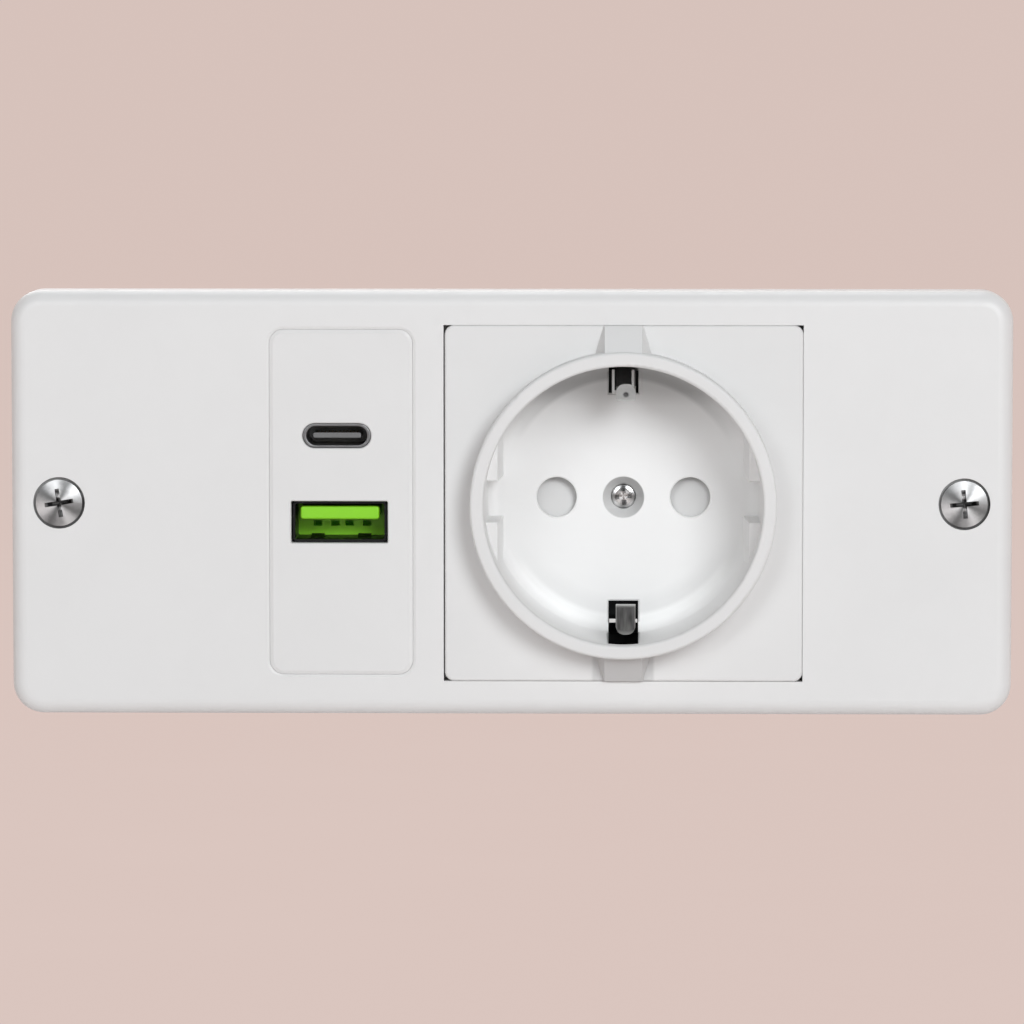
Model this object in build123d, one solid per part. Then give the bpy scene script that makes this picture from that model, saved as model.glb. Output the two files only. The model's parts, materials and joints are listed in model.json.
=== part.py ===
from build123d import *
import os
from math import sqrt, sin, cos, radians

os.makedirs("parts", exist_ok=True)

# ---------------------------------------------------------------------------
# Wall socket with an earthed round outlet and two charging ports.
# Millimetres. +X right, +Z up, +Y into the wall: the front faces -Y.
# Origin: centre of the plate, on the plane that lies against the wall (y = 0).
# ---------------------------------------------------------------------------

# front plate
PLATE_W, PLATE_H, PLATE_T = 140.6, 59.7, 7.0
PLATE_R = 4.4            # outline corner
PLATE_EDGE = 2.2         # rounding of the front edge
FACE_WALL = 2.4          # thickness of the front wall
SIDE_WALL = 2.2          # thickness of the rim
YF = -PLATE_T            # plate front face
YB = YF + FACE_WALL      # back of the front wall

# fixing screws
FIX_X = 63.5
FIX_HOLE_R = 2.1
FIX_SHANK_R = 1.75
FIX_NECK_R = 1.95         # plain neck that fills the plate's hole
FIX_HEAD_R = 3.26
FIX_MOUTH_R = 3.62        # mouth of the countersink
FIX_CONE = 1.65          # depth of the countersink
FIX_REACH = 22.0         # length of shank behind the wall plane

# socket cover
SX = 15.74               # socket axis
WIN_W, WIN_H = 50.4, 50.1
INS_W, INS_H = 50.22, 50.06
INS_X = SX + 0.07        # the cover sits against the right of its window
INS_R = 1.35
INS_Y = YF - 0.1         # face of the cover
INS_T = 2.0
LEDGE_Y = -3.8           # shelf in the plate that the cover rests on
COLLAR_Y = -2.2          # back of that shelf
RING_R, WELL_R = 21.45, 19.5
WELL_R_FLOOR = 19.3
RING_Y = -12.4           # front of the ring
WELL_DEPTH = 17.5
FLOOR_Y = RING_Y + WELL_DEPTH
FLOOR_T = 1.0
FLOOR_FILLET = 1.6       # between the well's floor and wall
FLOOR_B = FLOOR_Y + FLOOR_T
PIN_X = 9.5              # half the pin pitch
PIN_HOLE_R = 2.85
GUIDE_FRONT, GUIDE_FOOT = 17.6, 17.05   # drafted guide faces at the sides of the well
GUIDE_Y = -6.6           # front of the guides
GUIDE_UP, GUIDE_DOWN = 3.1, 2.65        # edges of the middle channel
SLOT_HALF = 2.12         # half width of the earth slots
SLOT_IN, SLOT_OUT = 14.8, 21.8
SLOT_SKIN = 20.8         # depth of the slots in front of the cover's face
SLOT_Y = RING_Y + 2.0    # front end of the slots
RIB_HALF = 2.6
RIB_EDGE = 24.95         # where a ramp rib ends, from the axis
RIB_EDGE_Y = -7.7
RIB_RING_Y = -10.65      # where a ramp rib meets the ring
BOSS_R = 3.75

# mechanism levels
RET_Y0, RET_Y1 = 13.2, 14.4      # retainer plate
BASE_F, BASE_B = 14.5, 27.9      # base block
BASE_HALF, SKIRT_IN = 24.2, 22.6
STRIP_T = 0.8
SHUT_Y0, SHUT_Y1 = 6.3, 13.05
SHUT_BAR = 7.6           # front of the bar between the wings
SHUT_AXIS = 10.1         # depth of the spring axes
SHUT_TOP = 7.4         # depth of the ramp at its upper edge
SHUT_TRAVEL = 6.9
SPRING_TOP, SPRING_END = -9.0, -19.5

# rear housing
HOUSE_W, HOUSE_H = 115.0, 52.4
HOUSE_WALL = 1.8
HOUSE_Y0, HOUSE_Y1 = -2.1, 40.0
HOUSE_IN = HOUSE_Y1 - HOUSE_WALL
HBOSS_X, HBOSS_Z = 51.5, 20.5
HSEAT_Y = 6.0
INLET_X, INLET_R = 48.0, 4.0

# charging ports
FX, FZ = -23.85, 0.15
FAS_W, FAS_H, FAS_R = 20.1, 48.5, 2.0
FAS_Y = YF - 0.03
FAS_GAP = 0.04           # play around the port panel
FAS_BEVEL = 0.2          # depth of the shallow bevels that meet there
CX, CZ = -24.45, 9.5     # USB-C axis
AX, AZ = -24.1, -2.65    # USB-A axis
PB_Y0, PB_Y1 = 7.5, 9.1  # port board
MB_Y0, MB_Y1 = 29.0, 30.6  # charger board
MB_X0, MB_X1, MB_Z = -47.0, -11.0, 22.5


# ------------------------------------------------------------------ helpers
def ex(sk, y0, y1):
    """Prism of an XZ sketch from y0 (front) to y1 (back)."""
    return extrude(Plane.XZ.offset(-y1) * sk, amount=y1 - y0)


def bx(x0, x1, y0, y1, z0, z1):
    return Pos((x0 + x1) / 2, (y0 + y1) / 2, (z0 + z1) / 2) * Box(x1 - x0, y1 - y0, z1 - z0)


def cyl(x, z, r, y0, y1):
    return Pos(x, (y0 + y1) / 2, z) * Rot(90, 0, 0) * Cylinder(r, y1 - y0)


def cyl_x(y, z, r, x0, x1):
    return Pos((x0 + x1) / 2, y, z) * Rot(0, 90, 0) * Cylinder(r, x1 - x0)


def turned(x, z, pts):
    """Solid of revolution about the Y axis line through (x, z); pts are (radius, y)."""
    face = make_face(Polyline(*[(r, y, 0) for r, y in pts], close=True))
    return Pos(x, 0, z) * revolve(face, Axis.Y)


def rr(w, h, r, x=0.0, z=0.0):
    return Pos(x, z) * RectangleRounded(w, h, r)


def rect(w, h, x=0.0, z=0.0):
    return Pos(x, z) * Rectangle(w, h)


def edges_at_y(part, y, tol=1e-4):
    return part.edges().filter_by(
        lambda e: abs(e.bounding_box().min.Y - y) < tol and abs(e.bounding_box().max.Y - y) < tol
    )


def cross(x, z, half_l, half_w, y0, y1, turn):
    """Tapered cross recess between y0 (mouth) and y1 (bottom)."""
    out = None
    for a in (0, 90):
        mouth = Plane.XZ.offset(-y0) * (Pos(x, z) * Rot(0, 0, turn + a) * Rectangle(2 * half_l, 2 * half_w))
        foot = Plane.XZ.offset(-y1) * (Pos(x, z) * Rot(0, 0, turn + a) * Rectangle(half_l, half_w * 1.2))
        arm = loft([mouth, foot])
        out = arm if out is None else out + arm
    return out


def strip(pts, radii, width, x0, x1):
    """Bent strip: centre line through (y, z) points, thickness width, from x0 to x1."""
    line = FilletPolyline(*[(y, z) for y, z in pts], radius=radii)
    face = trace(line, width)
    return extrude(Plane.YZ.offset(x0) * face, amount=x1 - x0)


def group(*solids):
    return Compound(children=[s for p in solids for s in p.solids()])


def wire(pts, radius, r):
    line = FilletPolyline(*pts, radius=radius)
    sec = Plane(origin=line @ 0, z_dir=line % 0) * Circle(r)
    return sweep(sec, path=line)


nodes = {}

# -------------------------------------------------------------- front plate
plate = ex(rr(PLATE_W, PLATE_H, PLATE_R), YF, 0)
plate = fillet(plate.faces().sort_by(Axis.Y)[0].edges(), PLATE_EDGE)
plate -= ex(rr(PLATE_W - 2 * SIDE_WALL, PLATE_H - 2 * SIDE_WALL, PLATE_R - SIDE_WALL), YB, 1)
# shelf around the socket window
plate += ex(rect(WIN_W + 3.2, WIN_H + 2.6, SX, 0), YB - 0.1, COLLAR_Y)
plate -= ex(rect(WIN_W, WIN_H, SX, 0), YF - 1, LEDGE_Y)
plate -= ex(rect(46.4, 45.9, SX, 0), YF - 1, COLLAR_Y + 1)
# window of the port panel
plate -= ex(rr(FAS_W + 2 * FAS_GAP, FAS_H + 2 * FAS_GAP, FAS_R + FAS_GAP, FX, FZ), YF - 1, YB + 1)
plate -= loft([Plane.XZ.offset(-(YF - 0.04)) * rr(FAS_W + 1.0, FAS_H + 1.0, FAS_R + 0.5, FX, FZ),
               Plane.XZ.offset(-(YF + FAS_BEVEL)) * rr(FAS_W + 0.02, FAS_H + 0.02, FAS_R + 0.01, FX, FZ)])
# hooks that hold the port panel
for s in (1, -1):
    z_in, z_out = FZ + s * 25.85, s * 27.7
    lo, hi = min(z_in, z_out), max(z_in, z_out)
    plate += bx(FX - 4, FX + 4, YB - 0.1, COLLAR_Y, lo, hi)
    z_tip = FZ + s * 25.1
    lo, hi = min(z_tip, z_in), max(z_tip, z_in)
    plate += bx(FX - 4, FX + 4, -3.1, COLLAR_Y, lo, hi)
# stiffening ribs
for x in (-54.0, -42.0, 47.0, 55.5):
    plate += bx(x - 0.6, x + 0.6, YB - 0.1, -2.6, -27.7, 27.7)
# fixing bosses with countersunk holes
for s in (1, -1):
    plate += cyl(s * FIX_X, 0, 5.4, YB - 0.1, 0)
for s in (1, -1):
    plate -= cyl(s * FIX_X, 0, FIX_HOLE_R, YF - 1, 1)
    plate -= turned(s * FIX_X, 0, [(0, YF - 0.2), (FIX_MOUTH_R + 0.1, YF - 0.2), (FIX_MOUTH_R, YF + 0.05),
                                   (FIX_MOUTH_R - 0.05, YF + 0.7), (FIX_HEAD_R, YF + 0.74), (FIX_HOLE_R, YF + 1.83), (0, YF + 1.83)])
# bosses for the housing screws
for sx in (1, -1):
    for sz in (1, -1):
        plate += cyl(sx * HBOSS_X, sz * HBOSS_Z, 3.0, YB - 0.1, HSEAT_Y)
for sx in (1, -1):
    for sz in (1, -1):
        plate -= cyl(sx * HBOSS_X, sz * HBOSS_Z, 1.45, -4.2, HSEAT_Y + 1)
nodes["front_plate"] = plate

# ---------------------------------------------------------------- port panel
fas = ex(rr(FAS_W, FAS_H, FAS_R, FX, FZ), YF + FAS_BEVEL, -4.5)
fas += loft([Plane.XZ.offset(-(YF + FAS_BEVEL)) * rr(FAS_W, FAS_H, FAS_R, FX, FZ),
             Plane.XZ.offset(-FAS_Y) * rr(FAS_W - 1.0, FAS_H - 1.0, FAS_R - 0.5, FX, FZ)])
fas += ex(rr(FAS_W + 3.4, FAS_H + 2.85, FAS_R + 0.4, FX, FZ), YB, -3.15)
fas -= ex(rr(FAS_W - 3.4, FAS_H - 3.4, 1.0, FX, FZ), -5.3, -3.0)
# guide collars behind the two openings
fas += ex(rect(FAS_W - 3.0, 5.7, FX, CZ), -5.4, -2.0)
fas += ex(rect(FAS_W - 3.0, 8.1, FX, AZ), -5.4, -2.0)
# posts for the port board
for s in (1, -1):
    fas += cyl(FX, FZ + s * 20.6, 2.4, -5.4, PB_Y0)
for s in (1, -1):
    fas -= cyl(FX, FZ + s * 20.6, 1.15, 0.5, PB_Y0 + 1)
fas -= ex(Pos(CX, CZ) * SlotOverall(9.66, 3.5), FAS_Y - 1, 0)
fas -= ex(rr(13.6, 5.9, 0.2, AX, AZ), FAS_Y - 1, 0)
port_edges = edges_at_y(fas, FAS_Y).filter_by(
    lambda e: abs(e.center().X - FX) < 8.0 and -7 < e.center().Z < 13
)
fas = chamfer(port_edges, 0.14)
nodes["usb_fascia"] = fas

# -------------------------------------------------------------- socket cover
ins = ex(rr(INS_W, INS_H, INS_R, INS_X, 0), INS_Y, INS_Y + INS_T)
ins = fillet(ins.faces().sort_by(Axis.Y)[0].edges(), 0.35)
ins += ex(rr(INS_W, INS_H, INS_R, INS_X, 0) - rect(46.9, 46.4, SX, 0), INS_Y + INS_T - 0.2, LEDGE_Y)
# ramp ribs above and below the ring
slope = (RIB_EDGE_Y - RIB_RING_Y) / (RIB_EDGE - RING_R)
base_y = INS_Y + 0.25


def rib_section(r):
    top = RIB_EDGE_Y - slope * (RIB_EDGE - r)
    half = RIB_HALF + 0.34 * (base_y - top)
    return top, half


r_in = 20.3
for s in (1, -1):
    faces = []
    for r in (RIB_EDGE, r_in):
        top, half = rib_section(r)
        pts = [(SX - RIB_HALF, top), (SX + RIB_HALF, top), (SX + half, base_y), (SX - half, base_y)]
        faces.append(make_face(Polyline(*[(x, y, s * r) for x, y in pts], close=True)))
    rib = loft(faces, ruled=True)
    ins += rib
# ring and well in one turning, with rounded rim
ring = turned(SX, 0, [(0, FLOOR_Y), (WELL_R_FLOOR, FLOOR_Y), (WELL_R, RING_Y), (RING_R, RING_Y),
                      (RING_R, FLOOR_B), (0, FLOOR_B)])
rim_edges = edges_at_y(ring, RING_Y)
ring = fillet(rim_edges, 0.45)
ring = fillet(edges_at_y(ring, FLOOR_Y), FLOOR_FILLET)
ins -= cyl(SX, 0, RING_R - 0.2, RING_Y - 1, FLOOR_B)
ins += ring
# side guides with drafted faces and a middle channel
core = cyl(SX, 0, WELL_R + 0.3, GUIDE_Y, FLOOR_Y + 0.2)
for s in (1, -1):
    side = make_face(Polyline(*[(SX + s * x, y, 0) for x, y in
                                ((GUIDE_FRONT, GUIDE_Y), (GUIDE_FOOT, FLOOR_Y + 0.2), (WELL_R + 1, FLOOR_Y + 0.2), (WELL_R + 1, GUIDE_Y))],
                              close=True))
    for z0, z1 in ((GUIDE_UP, 12.0), (-12.0, -GUIDE_DOWN)):
        wedge = extrude(Plane.XY.offset(z0) * side, amount=z1 - z0, dir=(0, 0, 1))
        block = core & wedge
        soft = edges_at_y(block, GUIDE_Y).filter_by(GeomType.LINE)
        ins += fillet(soft, 0.25)
# boss for the middle screw and pegs for the retainer
ins += cyl(SX, 0, BOSS_R, FLOOR_B - 0.2, BASE_F)
for s in (1, -1):
    ins += cyl(SX + s * 16.8, 2.5, 1.2, FLOOR_B - 0.2, RET_Y1)
# earth slots
for s in (1, -1):
    z0, z1 = sorted((s * SLOT_IN, s * SLOT_OUT))
    ins -= bx(SX - SLOT_HALF, SX + SLOT_HALF, INS_Y + 0.6, FLOOR_B + 0.5, z0, z1)
    ins -= bx(SX - SLOT_HALF, SX + SLOT_HALF, SLOT_Y, INS_Y + 1.0, *sorted((s * SLOT_IN, s * SLOT_SKIN)))
    lip = [(SX - SLOT_HALF - 0.24, s * (WELL_R - 0.35)), (SX + SLOT_HALF + 0.24, s * (WELL_R - 0.35)),
           (SX + SLOT_HALF, s * (WELL_R + 0.15)), (SX - SLOT_HALF, s * (WELL_R + 0.15))]
    ins -= ex(make_face(Polyline(*lip, close=True)), SLOT_Y, FLOOR_Y)
    mid = s * (SLOT_IN + SLOT_OUT) / 2
    span = SLOT_OUT - SLOT_IN
    ins -= loft([Plane.XZ.offset(-(FLOOR_Y - 0.02)) * rect(2 * SLOT_HALF + 0.46, span + 0.46, SX, mid),
                 Plane.XZ.offset(-(FLOOR_Y + 0.22)) * rect(2 * SLOT_HALF, span, SX, mid)])
# pin holes, slightly countersunk, and the seat of the middle screw
for s in (1, -1):
    ins -= cyl(SX + s * PIN_X, 0, PIN_HOLE_R, FLOOR_Y - 1, FLOOR_B + 1)
    ins -= turned(SX + s * PIN_X, 0, [(0, FLOOR_Y - 0.3), (PIN_HOLE_R + 0.45, FLOOR_Y - 0.3),
                                      (PIN_HOLE_R, FLOOR_Y + 0.15), (0, FLOOR_Y + 0.15)])
ins -= turned(SX, 0, [(0, FLOOR_Y - 0.2), (3.06, FLOOR_Y - 0.2), (1.8, FLOOR_Y + 1.9), (1.8, FLOOR_Y + 3.4),
                      (1.3, FLOOR_Y + 3.4), (1.3, BASE_F + 1), (0, BASE_F + 1)])
nodes["socket_insert"] = ins

# ------------------------------------------------------------------- screws
head_y = FLOOR_Y + 1.75
scr = turned(SX, 0, [(0, head_y), (1.2, head_y + 0.05), (1.6, head_y + 0.2), (1.77, head_y + 0.4), (1.77, FLOOR_Y + 3.4),
                     (1.25, FLOOR_Y + 3.4), (1.25, BASE_F + 9.6), (0.9, BASE_F + 10.0), (0, BASE_F + 10.0)])
scr -= cross(SX, 0, 1.35, 0.34, head_y - 0.1, head_y + 0.9, 7)
nodes["insert_screw"] = scr

DOME = 0.42
dome_r = (FIX_HEAD_R ** 2 + DOME ** 2) / (2 * DOME)
fix = []
for x, turn in ((-FIX_X, 9), (FIX_X, 5)):
    line = [
        Line((0, YF - DOME), (0, FIX_REACH)),
        Line((0, FIX_REACH), (FIX_SHANK_R - 0.4, FIX_REACH)),
        Line((FIX_SHANK_R - 0.4, FIX_REACH), (FIX_SHANK_R, FIX_REACH - 0.6)),
        Line((FIX_SHANK_R, FIX_REACH - 0.6), (FIX_SHANK_R, 0)),
        Line((FIX_SHANK_R, 0), (FIX_NECK_R, -0.3)),
        Line((FIX_NECK_R, -0.3), (FIX_NECK_R, YF + FIX_CONE + 0.3)),
        Line((FIX_NECK_R, YF + FIX_CONE + 0.3), (FIX_HEAD_R, YF + 0.72)),
        Line((FIX_HEAD_R, YF + 0.72), (FIX_HEAD_R, YF)),
        ThreePointArc((FIX_HEAD_R, YF),
                      (FIX_HEAD_R / 2, YF - DOME + dome_r - sqrt(dome_r ** 2 - (FIX_HEAD_R / 2) ** 2)),
                      (0, YF - DOME)),
    ]
    s1 = Pos(x, 0, 0) * revolve(make_face(line), Axis.Y)
    s1 -= cross(x, 0, 2.15, 0.32, YF - DOME - 0.05, YF + 1.2, turn)
    fix.append(s1)
nodes["wall_screws"] = group(*fix)

hs = []
for sx in (1, -1):
    for sz in (1, -1):
        s1 = turned(sx * HBOSS_X, sz * HBOSS_Z, [(0, 10.0), (1.8, 10.0), (2.6, 9.3), (2.6, 8.0), (1.4, 8.0),
                                                 (1.4, -2.6), (0.3, -4.0), (0, -4.0)])
        s1 -= cross(sx * HBOSS_X, sz * HBOSS_Z, 1.6, 0.45, 10.1, 8.9, 30 * sx + 15 * sz)
        hs.append(s1)
nodes["housing_screws"] = group(*hs)

# ------------------------------------------------------------------- shutter
# slider with two ramped wings joined by a bar below the boss; it moves down
ramp = [(SHUT_Y0, -5.0), (SHUT_Y0, -3.2), (SHUT_TOP, 4.0), (SHUT_Y1, 4.0), (SHUT_Y1, -5.0)]
shut = None
for s in (1, -1):
    x0, x1 = sorted((SX + s * 5.4, SX + s * 13.2))
    wing = extrude(Plane.YZ.offset(x0) * make_face(Polyline(*ramp, close=True)), amount=x1 - x0)
    shut = wing if shut is None else shut + wing
shut += bx(SX - 13.2, SX + 13.2, SHUT_BAR, SHUT_Y1, -9.0, -4.6)
# spigots that centre the springs
for s in (1, -1):
    shut += Pos(SX + s * 9.5, SHUT_AXIS, -9.7) * Cylinder(1.1, 1.6)
nodes["shutter"] = shut

springs = []
for s in (1, -1):
    h = SPRING_TOP - SPRING_END - 0.5
    path = Helix(pitch=h / 5.5, height=h, radius=1.65)
    sec = Plane(origin=path @ 0, z_dir=path % 0) * Circle(0.22)
    springs.append(Pos(SX + s * 9.5, SHUT_AXIS, SPRING_END + 0.25) * sweep(sec, path=path))
nodes["shutter_springs"] = group(*springs)

ret = bx(SX - 14.8, SX + 14.8, RET_Y0, RET_Y1, -21.0, 8.0)
for s in (1, -1):
    x0, x1 = sorted((SX + s * 13.4, SX + s * 14.8))
    ret += bx(x0, x1, FLOOR_B, RET_Y1, -21.0, 5.0)
    x0, x1 = sorted((SX + s * 5.0, SX + s * 14.8))
    ret += bx(x0, x1, FLOOR_B, RET_Y1, -21.0, SPRING_END)
    ret += bx(*sorted((SX + s * 14.0, SX + s * 19.0)), RET_Y0, RET_Y1, 0.1, 4.9)
ret -= bx(SX - 3.4, SX + 3.4, RET_Y0 - 1, RET_Y1 + 1, -22, -17.55)
ret += bx(SX - 3.0, SX + 3.0, RET_Y0, RET_Y1, 7.0, 17.55)
ret -= cyl(SX, 0, BOSS_R + 0.15, RET_Y0 - 1, RET_Y1 + 1)
for s in (1, -1):
    ret -= cyl(SX + s * PIN_X, 0, 3.3, RET_Y0 - 1, RET_Y1 + 1)
    ret -= cyl(SX + s * 16.8, 2.5, 1.25, RET_Y0 - 1, RET_Y1 + 1)
nodes["shutter_retainer"] = ret

# ---------------------------------------------------------------------- base
base = ex(rr(2 * BASE_HALF, 2 * BASE_HALF, 1.5, SX, 0), BASE_F, BASE_B)
base += ex(rr(2 * BASE_HALF, 2 * BASE_HALF, 1.5, SX, 0) - rect(2 * SKIRT_IN, 2 * SKIRT_IN, SX, 0), COLLAR_Y, BASE_F + 0.2)
for s in (1, -1):
    c = SX + s * PIN_X
    base -= bx(c - 4.3, c + 4.3, BASE_F + 1.8, BASE_B + 1, -4.6, 4.6)
    base -= cyl(c, 0, 3.3, BASE_F - 1, BASE_F + 2.4)
    base -= cyl(c, -16.5, 1.8, BASE_B - 7, BASE_B + 1)
base -= cyl(SX, 0, 1.3, BASE_F - 1, BASE_B - 2.5)
# groove for the earth strap and the way for its tail
base -= bx(SX - 2.7, SX + 2.7, BASE_F - 1, BASE_F + STRIP_T, -20.3, 20.3)
base -= bx(SX + 2.0, SX + 9.3, BASE_F - 1, BASE_F + STRIP_T, 15.8, 20.3)
base -= bx(SX + 4.0, SX + 9.2, BASE_F - 1, BASE_B + 1, 19.2, 20.3)
base -= cyl(SX + 6.5, 14.5, 1.8, BASE_B - 7, BASE_B + 1)
# cored-out corners and peg holes for the back cap
base -= bx(SX - 21.8, SX - 2.5, BASE_F + 2.9, BASE_B + 1, 8.5, 21.8)
base -= bx(SX + 13.0, SX + 21.8, BASE_F + 2.9, BASE_B + 1, 8.5, 21.8)
base -= bx(SX - 3.5, SX + 3.5, BASE_F + 2.9, BASE_B + 1, -21.8, -8.5)
for s in (1, -1):
    base -= bx(*sorted((SX + s * 15.0, SX + s * 21.8)), BASE_F + 2.9, BASE_B + 1, -21.8, -8.5)
    base -= cyl(SX + s * 18.0, 0, 1.25, BASE_B - 4.5, BASE_B + 1)
nodes["socket_base"] = base

# ------------------------------------------------------------------ contacts
for name, s in (("live_contact", 1), ("neutral_contact", -1)):
    c = SX + s * PIN_X
    k = bx(c - 3.4, c + 3.4, BASE_B, BASE_B + STRIP_T, -22.5, 4.4)
    for t in (1, -1):
        pts = [(c + t * 2.75, BASE_B + 0.3), (c + t * 2.75, BASE_B - 4.0), (c + t * 2.5, BASE_F + 5.0), (c + t * 3.4, BASE_F + 2.6)]
        leaf = trace(FilletPolyline(*pts, radius=1.5), 0.7)
        k += extrude(Plane.XY.offset(-3.2) * leaf, amount=6.4)
    k -= cyl(c, -16.5, 1.8, BASE_B - 1, BASE_B + 2)
    nodes[name] = k

# earth strip: one stamping with two sprung clips and a wiring tail
EX = SX + 0.35
earth = bx(SX - 2.4, SX + 2.4, BASE_F, BASE_F + STRIP_T, -13.0, 13.0)
earth += bx(EX - 1.4, EX + 1.4, BASE_F, BASE_F + STRIP_T, -17.5, 17.5)
for s in (1, -1):
    end = (-9.6, s * 18.1) if s < 0 else (-8.5, s * 17.13)
    pts = [(BASE_F + 0.4, s * 15.6), (BASE_F + 0.4, s * 18.5), (3.5, s * 18.2), (-5.4, s * 14.4), end]
    rad = [1.0, 6.0, 1.2]
    clip = strip(pts, rad, 0.6, EX - 1.38, EX + 1.38)
    # rounded free end and nose
    top_z = s * 18.2 if s < 0 else 16.9
    low_z = s * 13.2 if s < 0 else 13.65
    mid_z, long_z = (top_z + low_z) / 2, abs(top_z - low_z)
    keep = ex(rr(2.76, long_z, 1.25, EX, mid_z), -11.5, -1.9)
    z0, z1 = sorted((s * 12.0, s * 20.0))
    front = (clip & bx(SX - 3, SX + 3, -12, -2.0, z0, z1)) & keep
    back = clip & bx(SX - 3, SX + 3, -2.0, BASE_F + 2, z0, z1)
    clip = front + back
    if s < 0:
        # stop ears
        ear_y, ear_z = -7.6, -16.4
        clip += bx(SX - 1.95, EX - 0.9, ear_y - 0.2, ear_y + 0.2, ear_z - 0.25, ear_z + 0.25)
        clip += bx(EX + 0.9, SX + 2.0, ear_y - 0.2, ear_y + 0.2, ear_z - 0.25, ear_z + 0.25)
    else:
        # small pit in the nose, and upright rails on a cross bar behind the lead-in
        clip -= cyl(EX, 15.3, 0.34, -8.0, -6.5)
        clip += bx(SX - 1.62, SX + 1.52, -3.3, -2.8, 15.2, 15.7)
        for x in (SX - 1.44, SX + 1.34):
            clip += bx(x - 0.18, x + 0.18, -3.3, -2.8, 15.2, 18.6)
    earth += clip
earth += bx(SX + 1.0, SX + 9.0, BASE_F, BASE_F + STRIP_T, 16.0, 20.1)
earth += bx(SX + 4.2, SX + 9.0, BASE_F, BASE_B + STRIP_T, 19.3, 20.1)
earth += bx(SX + 3.0, SX + 10.0, BASE_B, BASE_B + STRIP_T, 10.9, 20.1)
earth -= cyl(SX, 0, 1.3, BASE_F - 1, BASE_F + 2)
earth -= cyl(SX + 6.5, 14.5, 1.8, BASE_B - 1, BASE_B + 2)
nodes["earth_strap"] = earth

# insulating cap and wiring terminals
cap = bx(SX - 20.0, SX + 20.0, BASE_B + STRIP_T, BASE_B + 2.3, -11.5, 9.6)
for s in (1, -1):
    cap += cyl(SX + s * 18.0, 0, 1.2, BASE_B - 4.0, BASE_B + 1.0)
    cap -= bx(*sorted((SX + s * 14.5, SX + s * 21.0)), BASE_B - 5, BASE_B + 4, 4.5, 12)
nodes["contact_cover"] = cap
term_at = [(SX + PIN_X, -16.5), (SX - PIN_X, -16.5), (SX + 6.5, 14.5)]
plates, tscr = [], []
for x, z in term_at:
    p1 = bx(x - 3.4, x + 3.4, BASE_B + STRIP_T, BASE_B + 2.0, z - 3.4, z + 3.4)
    plates.append(p1 - cyl(x, z, 1.8, BASE_B, BASE_B + 4))
    s1 = turned(x, z, [(0, BASE_B + 4.0), (2.3, BASE_B + 4.0), (2.8, BASE_B + 3.6), (2.8, BASE_B + 2.0), (1.75, BASE_B + 2.0),
                       (1.75, BASE_B - 5.5), (1.2, BASE_B - 6.0), (0, BASE_B - 6.0)])
    s1 -= cross(x, z, 1.8, 0.5, BASE_B + 4.1, BASE_B + 2.9, 20)
    tscr.append(s1)
nodes["terminal_plates"] = group(*plates)
nodes["terminal_screws"] = group(*tscr)

# ------------------------------------------------------------- USB receptacles
# USB-A: folded steel shell, plastic tongue, four contacts
a_out, a_in = rr(13.2, 5.7, 0.6, AX, AZ), rr(12.55, 5.05, 0.3, AX, AZ)
a_sh = ex(a_out - a_in, -5.7, PB_Y0)
for s in (1, -1):
    # sprung fingers pressed in from the top and bottom walls
    for x in (-3.3, 3.3):
        fing = [(-4.0, s * 2.6), (-1.0, s * 2.15), (1.2, s * 2.62)]
        f1 = trace(FilletPolyline(*fing, radius=1.2), 0.25)
        f1 = extrude(Plane.YZ.offset(AX + x - 0.9) * f1, amount=1.8)
        if s < 0:
            a_sh += Pos(0, 0, AZ) * f1
    a_sh += bx(*sorted((AX + s * 6.28, AX + s * 6.6)), PB_Y0 - 0.2, PB_Y1 + 1.4, AZ - 1.2, AZ + 1.2)
a_tg = ex(rr(12.45, 4.95, 0.3, AX, AZ), 1.6, PB_Y0)
tongue = ex(rr(11.1, 1.84, 0.4, AX, AZ + 1.2), -5.4, 1.8)
a_tg += fillet(tongue.faces().sort_by(Axis.Y)[0].edges(), 0.3)
a_ct = []
for x in (-3.5, -1.0, 1.0, 3.5):
    # contact way in the block and contact let into the underside of the tongue
    a_tg -= bx(AX + x - 0.58, AX + x + 0.58, 0.0, 4.6, AZ - 1.2, AZ - 0.42)
    leg = bx(AX + x - 0.5, AX + x + 0.5, -4.4, PB_Y0, AZ + 0.28, AZ + 0.5)
    a_ct.append(leg)
    a_tg -= leg
nodes["usb_a_shell"] = a_sh
nodes["usb_a_tongue"] = a_tg
nodes["usb_a_contacts"] = group(*a_ct)

# USB-C: drawn steel shell, black tongue, two rows of contacts
C_FRONT = YF + 0.2
c_sh = ex(Pos(CX, CZ) * (SlotOverall(9.58, 3.42) - SlotOverall(8.5, 2.6)), C_FRONT, PB_Y0)
c_sh = fillet(edges_at_y(c_sh, C_FRONT), 0.16)
for s in (1, -1):
    c_sh += bx(CX + s * 4.55 - 0.18, CX + s * 4.55 + 0.18, PB_Y0 - 0.2, PB_Y1 + 1.0, CZ - 0.5, CZ + 0.5)
c_tg = ex(Pos(CX, CZ) * SlotOverall(8.42, 2.52), -0.6, PB_Y0)
c_tg += ex(rr(6.69, 0.7, 0.2, CX, CZ), -5.6, 0)
c_ct = []
for i in range(12):
    x = CX + (i - 5.5) * 0.5
    for s in (1, -1):
        z0, z1 = sorted((CZ + s * 0.27, CZ + s * 0.35))
        leg = bx(x - 0.12, x + 0.12, -5.2, -0.6, z0, z1)
        c_ct.append(leg)
        c_tg -= leg
nodes["usb_c_shell"] = c_sh
nodes["usb_c_tongue"] = c_tg
nodes["usb_c_contacts"] = group(*c_ct)

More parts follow.
